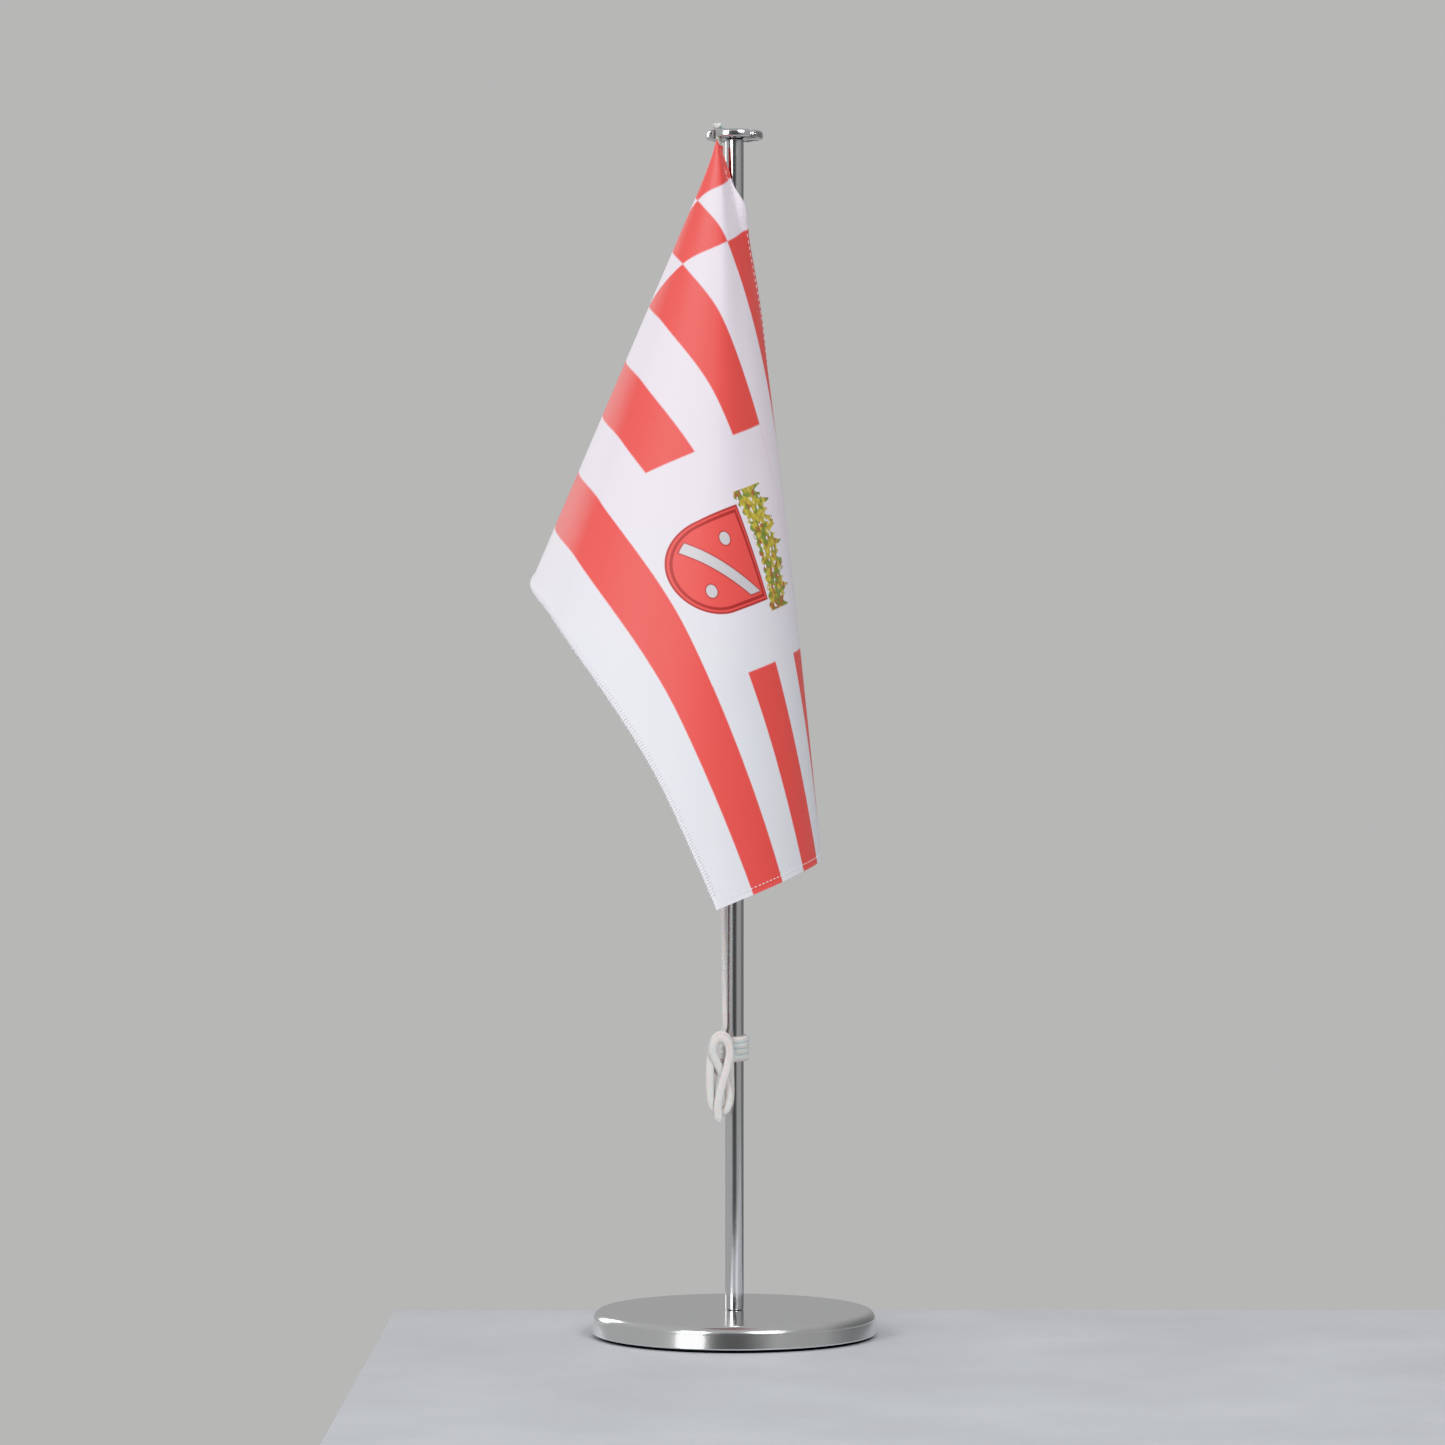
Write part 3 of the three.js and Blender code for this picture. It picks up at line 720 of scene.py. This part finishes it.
def cloth_piece(name, us, vs, front, back, finishes, node):
    """A strip of cloth over the places us along the fly and vs down the hoist, between two distances
    off the sheet's middle. With two finishes, the second is on its back."""
    count = len(vs)
    grid = sheet_grid(us, vs, front, back)
    across = np.concatenate([vs, vs[::-1], vs[:1]]) / HOIST
    is_back = np.zeros((len(us) - 1, 2 * count), int)
    if len(finishes) > 1:
        is_back[:, count : 2 * count - 1] = 1
    piece = surface(
        name, grid, "flag", finishes, closed=(False, True), caps=(0, -1),
        uv=(us / FLY, across), faces_of=is_back.ravel(),
    )
    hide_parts(node)
    return piece


def crowded(end, count, power):
    """Places from 0 to end, closer together near 0."""
    return end * np.linspace(0, 1, count) ** power


sheet = cloth_piece(
    "printed_flag", crowded(FLY, 220, 1.25), crowded(HOIST, 140, 1.15), -CLOTH / 2, CLOTH / 2,
    [PRINTED, REVERSE], "flag_cloth",
)
HEM = 4.0
behind = CLOTH / 2 + 0.08  # the turned hems lie just behind the sheet
fly_hem = cloth_piece(
    "fly_hem_fold", np.linspace(FLY - HEM, FLY - 0.15, 5), np.linspace(0.2, HOIST - 0.2, 130), behind,
    behind + CLOTH, [HEM_SATIN], "fly_hem",
)
top_hem = cloth_piece(
    "top_hem_fold", np.linspace(8, FLY - HEM - 0.3, 200), np.linspace(0.15, HEM, 5), behind,
    behind + CLOTH, [HEM_SATIN], "top_hem",
)


def sleeve_piece():
    """The hoist's tunnel: a line round the cord with a rounded beak in front, where it meets the sheet's
    edge, carried down the cord. Its radius swells and shrinks a little where the cloth puckers."""
    beak, beak_width = 0.55, 0.12
    down = np.linspace(0.4, HOIST - 0.3, 150)[:, None]
    around = np.linspace(0, 2 * math.pi, 32, endpoint=False)[None, :]
    pucker = 1 + 0.05 * np.sin(down * 0.9 + 2 * around) + 0.04 * np.sin(down * 2.3 + around)
    r = SLEEVE_RADIUS * pucker
    drop = np.exp(-(around**2) / beak_width) + np.exp(-((around - 2 * math.pi) ** 2) / beak_width)
    x = r * np.sin(around)
    y = -(r * np.cos(around) + drop * beak)
    middle = CORD_HEAD + CORD_AXIS * (CORD_HEAD[2] - FLAG_CORNER[2] + down)[..., None]
    points = middle + np.stack([x, y, 0 * x * y], -1)
    girth = np.linspace(0, 11, 33) / FLY
    piece = surface(
        "hoist_tunnel", points, "flag", [HEM_SATIN], closed=(False, True),
        uv=(down[:, 0] / HOIST, girth),
    )
    # The print's map runs along the fly first, so the map's two columns change places here.
    layer = piece.data.uv_layers["Flat"].data
    values = np.zeros(2 * len(layer), np.float32)
    layer.foreach_get("uv", values)
    layer.foreach_set("uv", np.ascontiguousarray(values.reshape(-1, 2)[:, ::-1]).ravel())
    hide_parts("hoist_sleeve")


sleeve_piece()


def overlock_piece():
    """One thread wound over the bottom edge: a coil carried along the fly, whose turns are flat ovals
    about the edge, some looser than others, and whose section is a small circle."""
    pitch, per_turn, sides = 1.1, 12, 5
    start, thread_radius = 4, 0.2
    turns = int((FLY - 2 * start) / pitch)
    phi = np.linspace(0, 2 * math.pi * turns, turns * per_turn)[:, None]
    psi = np.linspace(0, 2 * math.pi, sides, endpoint=False)[None, :]
    loose = 1 + 0.12 * np.sin(phi * 0.37) + 0.08 * np.sin(phi * 1.13)
    half_length, half_depth = 1.1 * loose, 0.36
    n_v, n_off = np.cos(phi) * half_depth, np.sin(phi) * half_length
    size = np.hypot(n_v, n_off)
    across = thread_radius * np.cos(psi) / size
    u = start + pitch * phi / (2 * math.pi) + thread_radius * np.sin(psi)
    v = HOIST - 0.85 + half_length * np.cos(phi) + across * n_v
    off = half_depth * np.sin(phi) + across * n_off
    piece = surface(
        "bottom_overlock", on_cloth(u, v, off), "flag", [WHITE_THREAD],
        closed=(False, True), caps=(0, -1),
    )
    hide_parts("bottom_hem")
    return piece


overlock = overlock_piece()


def stitches(name, starts, ends):
    """A row of short stitches on the front of the cloth. Each is a thin spindle from its start (u, v) to
    its end, which rises out of the cloth as half a sine and dives back."""
    t = np.linspace(0, 1, 7)[None, :, None]
    psi = np.linspace(0, 2 * math.pi, 6, endpoint=False)[None, None, :]
    starts, ends = np.asarray(starts)[:, None, None, :], np.asarray(ends)[:, None, None, :]
    run = unit(ends - starts)
    r = 0.16 * np.sqrt(np.clip(1 - (2 * t - 1) ** 4, 0.02, 1))
    along = starts + (ends - starts) * t[..., None]
    u = along[..., 0] + r * np.cos(psi) * -run[..., 1]
    v = along[..., 1] + r * np.cos(psi) * run[..., 0]
    off = -(CLOTH / 2 - 0.05 + 0.1 * np.sin(math.pi * t) + r * np.sin(psi))
    return surface(
        name, on_cloth(u, v, off), "flag", [WHITE_THREAD], closed=(False, True), caps=(0, -1)
    )


def seam(u0, v0, u1, v1, pitch=2.3, length=1.55):
    """Starts and ends of the stitches along a straight seam in the flat cloth."""
    whole = math.hypot(u1 - u0, v1 - v0)
    at = np.arange(0.3, whole - length, pitch)[:, None]
    way = np.array([[u1 - u0, v1 - v0]]) / whole
    return np.array([[u0, v0]]) + way * at, np.array([[u0, v0]]) + way * (at + length)


fly_stitches = stitches("fly_stitching", *seam(FLY - 2.2, 1, FLY - 2.2, HOIST - 3))
top_stitches = stitches("top_stitching", *seam(9, 3, FLY - 5, 3))
hoist_stitches = stitches("hoist_stitching", *seam(0.9, 5, 0.9, HOIST - 3))

# ---- Chrome stand ----


def cover_piece():
    """The pressed cover: wall, rounded shoulder and flat top turned about the pole's axis, then its
    inside back to the rim."""
    wall = COVER_RADIUS - COVER_TAPER
    centre = (wall - COVER_SHOULDER, COVER_TOP - COVER_SHOULDER)
    screw_hole = 2.0
    foot = COVER_RIM + COVER_WALL / 2
    # Rings crowd near the wall's ends and round the flat top's edge, so that only the curves shade round.
    rise = np.array([0.0, 0.03, 0.1, 0.3, 0.5, 0.7, 0.9, 0.97, 1.0])
    profile = np.concatenate([
        [[COVER_RADIUS - COVER_WALL, COVER_RIM]],
        arc(COVER_RADIUS - COVER_WALL / 2, foot, COVER_WALL / 2, -90, 0, 5)[:-1],
        np.stack([COVER_RADIUS - COVER_TAPER * rise, foot + (centre[1] - foot) * rise], -1),
        arc(*centre, COVER_SHOULDER, 6, 90, 20),
        [[r, COVER_TOP] for r in (46.2, 45, 40, 30, 20, 10, 4, screw_hole)],
        [[screw_hole, COVER_TOP - COVER_WALL]],
        arc(*centre, COVER_SHOULDER - COVER_WALL, 90, 0, 8),
    ])
    piece = surface(
        "chrome_cover", turned(profile, 256), "stand", [FOOT_CHROME], closed=(True, True)
    )
    sharpen(piece, 50)
    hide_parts("base_cover")


def pole_piece():
    """The tube: outside up, over a small eased edge, inside down, and back. Rings crowd near its ends,
    so that only the eased edges shade round."""
    ease = 0.25
    bore = POLE_RADIUS - POLE_WALL
    near_end = np.array([0.0, 0.04, 0.12, 0.5, 2.0])
    low, high = POLE_FOOT + ease, POLE_TOP - ease
    outside = np.concatenate([low + near_end, np.linspace(low + 7, high - 7, 40), high - near_end[::-1]])
    profile = np.concatenate([
        [[bore, POLE_FOOT], [POLE_RADIUS - ease, POLE_FOOT]],
        np.stack([np.full(len(outside), POLE_RADIUS), outside], -1),
        [[POLE_RADIUS - ease, POLE_TOP], [bore, POLE_TOP]],
    ])
    piece = surface("chrome_pole", turned(profile, 96), "stand", [CHROME], closed=(True, True))
    sharpen(piece, 60)
    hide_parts("pole_tube")


def disc_outline():
    """The disc's outline with its four slots: part of the rim, then down one slot's side, round its
    inner end and back up its other side, four times."""
    mouth = math.degrees(math.asin(SLOT_HALF_WIDTH / DISC_RADIUS))
    side = np.linspace(math.sqrt(DISC_RADIUS**2 - SLOT_HALF_WIDTH**2), SLOT_CENTRE, 8)
    lower = np.stack([side, np.full(8, -SLOT_HALF_WIDTH)], -1)[:-1]
    end = arc(SLOT_CENTRE, 0, -SLOT_HALF_WIDTH, 90, -90, 14)
    upper = np.stack([side[::-1], np.full(8, SLOT_HALF_WIDTH)], -1)[1:-1]
    rim = arc(0, 0, DISC_RADIUS, mouth, 90 - mouth, 34)[:-1]
    quarter = np.concatenate([lower, end, upper, rim])
    turns = np.radians(SLOT_ANGLE + 90 * np.arange(4))[:, None, None]
    x, y = quarter[None, :, 0, None], quarter[None, :, 1, None]
    spun = np.concatenate([x * np.cos(turns) - y * np.sin(turns), x * np.sin(turns) + y * np.cos(turns)], -1)
    return spun.reshape(-1, 2)


def disc_piece():
    """The head disc: its outline moved inwards ring by ring, each ring's height following the rounded
    edge's profile at its radius, closed by a flat top and by the stud's hole below."""
    line = disc_outline()
    way = np.roll(line, -1, 0) - np.roll(line, 1, 0)
    inward = unit(np.stack([-way[:, 1], way[:, 0]], -1))

    def edge_height(points, edge):
        deep = np.clip(DISC_RADIUS - np.linalg.norm(points, axis=1), 0, edge)
        return np.sqrt(np.clip(edge**2 - (edge - deep) ** 2, 0, None))

    rings = []
    # Each ring: how far it is moved inwards, and how far it is eased off the face.
    for inset, eased in ((1.1, 0), (0.6, 0), (0.3, 0), (0.12, 0), (0.03, 0.05), (0.0, 0.14)):
        at = line + inward * inset
        z = DISC_BOTTOM + DISC_UNDERSIDE - edge_height(at, DISC_UNDERSIDE) + eased
        rings.append(np.column_stack([at, z]))
    for inset, eased in ((0.0, 0.16), (0.04, 0.06), (0.12, 0), (0.3, 0), (0.6, 0), (0.85, 0), (1.1, 0)):
        at = line + inward * inset
        z = DISC_TOP - DISC_EDGE + edge_height(at, DISC_EDGE) - eased
        rings.append(np.column_stack([at, z]))
    turn = np.radians(SLOT_ANGLE) + np.linspace(0, 2 * math.pi, len(line), endpoint=False)
    hole = STUD_HOLE * np.stack([np.cos(turn), np.sin(turn)], -1)
    bore = [np.column_stack([hole, np.full(len(line), z)]) for z in (STUD_HOLE_TOP, DISC_BOTTOM)]
    piece = surface(
        "slotted_disc", np.stack(bore + rings), "head", [CHROME], closed=(False, True), caps=(0, -1)
    )
    sharpen(piece, 35)
    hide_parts("head_disc")


def pad_piece():
    """The foam pad: a flat disc whose edge bulges as half a circle."""
    half = PAD_HEIGHT / 2
    flat = (1, 30, PAD_RADIUS - 1.2)
    profile = np.concatenate([
        [[r, 0] for r in flat],
        arc(PAD_RADIUS - half, half, half, -90, 90, 10),
        [[r, PAD_HEIGHT] for r in flat[::-1]],
    ])
    piece = surface(
        "foam_foot", turned(profile, 160), "stand", [FOAM], closed=(False, True), caps=(0, -1)
    )
    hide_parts("base_pad")


cover_piece()
pole_piece()
disc_piece()
pad_piece()

# The hidden pieces keep their CAD meshes and only take a finish.
for finish, nodes in (
    (STEEL, ("base_screw", "base_flat_washer", "base_lock_washer")),
    (STEEL, ("pole_foot_insert", "pole_top_insert", "head_stud")),
    (IRON, ("base_weight",)),
):
    for node in nodes:
        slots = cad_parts[node].data.materials
        slots.clear()
        slots.append(finish)

# ---- Slab and light ----

SLAB_LOW = (-0.124, -0.3, -0.03)
SLAB_HIGH = (0.7, 0.072, -0.00005)
LIT_POINT = Vector((0, 0, 0.22))  # about half way up the stand


def slab_finish():
    """Pale cool stone: broad clouds with a fine grain drawn out along the slab."""
    r = Recipe("pale_slab", (0.5, 0.51, 0.52), 0.55)
    cloud = r.noise(r.place(), 14, 6)
    grain = r.noise(r.scaled(r.place(), (1, 3, 1)), 260, 4)
    shade = r.math("ADD", r.times(cloud, 0.7), r.times(grain, 0.3))
    r.color(r.mix(shade, (0.44, 0.46, 0.49), (0.7, 0.72, 0.75)))
    r.rough(r.between(grain, 0.5, 0.65))
    r.bump(grain, 0.0002, 0.3)
    return r.finish


def slab():
    """The slab that the stand rests on: a plain box, not part of the object."""
    x, y, z = zip(SLAB_LOW, SLAB_HIGH)
    corners = [(a, b, c) for a in x for b in y for c in z]
    faces = [(0, 1, 3, 2), (4, 6, 7, 5), (0, 4, 5, 1), (2, 3, 7, 6), (0, 2, 6, 4), (1, 5, 7, 3)]
    mesh = bpy.data.meshes.new("slab")
    mesh.from_pydata(corners, [], faces)
    mesh.materials.append(slab_finish())
    box = bpy.data.objects.new("slab", mesh)
    bpy.context.scene.collection.objects.link(box)


def window(name, azimuth, height, width, tall, distance, power):
    """A soft upright light at an angle round the stand and a height, aimed at the lit point."""
    data = bpy.data.lights.new(name, "AREA")
    data.shape = "RECTANGLE"
    data.size, data.size_y = width, tall
    data.energy = power
    lamp = bpy.data.objects.new(name, data)
    a = math.radians(azimuth)
    lamp.location = (distance * math.cos(a), distance * math.sin(a), height)
    aim = LIT_POINT - Vector(lamp.location)
    lamp.rotation_euler = aim.to_track_quat("-Z", "Y").to_euler()
    lamp.visible_camera = False
    bpy.context.scene.collection.objects.link(lamp)


slab()
window("left_window", -126, 1.05, 0.9, 1.6, 2.6, 37)
window("right_window", -62, 1.6, 1.0, 1.2, 2.6, 46)
window("back_window", 132, 0.9, 0.7, 1.3, 2.4, 10)
bpy.context.scene.view_settings.view_transform = "Khronos PBR Neutral"


# The room's light in every direction, and where it differs: a direction, what it adds at its middle, and
# the cosine from which it begins. It is darker behind the viewer and at the right rear, and a little
# brighter on the left and above.
ROOM_LIGHT = 0.42
ROOM_LOBES = (
    ((0.0, -1.0, 0.0), -0.3, 0.8),
    ((-1.0, 0.0, 0.1), 0.08, 0.2),
    ((0.8, 0.6, 0.0), -0.2, 0.6),
    ((0.0, 0.2, 1.0), 0.1, 0.1),
)
ROOM_WALL = (0.51, 0.51, 0.505, 1)


def room():
    """The world: the room's light with its lobes added, and a plain pale wall to the camera itself."""
    world = bpy.data.worlds.new("room")
    world.use_nodes = True
    bpy.context.scene.world = world
    tree = world.node_tree
    tree.nodes.clear()

    def node(kind, inputs=(), output=0, **settings):
        made = tree.nodes.new(kind)
        for key, value in settings.items():
            setattr(made, key, value)
        for key, value in dict(inputs).items():
            if isinstance(value, bpy.types.NodeSocket):
                tree.links.new(value, made.inputs[key])
            else:
                made.inputs[key].default_value = value
        return made.outputs[output] if made.outputs else None

    way = node("ShaderNodeTexCoord", output="Generated")
    total = ROOM_LIGHT
    for direction, share, low in ROOM_LOBES:
        facing = node(
            "ShaderNodeVectorMath",
            {0: way, 1: tuple(Vector(direction).normalized())},
            "Value",
            operation="DOT_PRODUCT",
        )
        lobe = node(
            "ShaderNodeMapRange",
            {"Value": facing, "From Min": low, "From Max": 1.0, "To Max": share},
            interpolation_type="SMOOTHSTEP",
        )
        total = node("ShaderNodeMath", {0: total, 1: lobe}, operation="ADD")
    room_light = node("ShaderNodeBackground", {"Color": total})
    plain = node("ShaderNodeBackground", {"Color": ROOM_WALL})
    seen = node("ShaderNodeLightPath", output="Is Camera Ray")
    mixed = node("ShaderNodeMixShader", {0: seen, 1: room_light, 2: plain})
    node("ShaderNodeOutputWorld", {"Surface": mixed})


room()
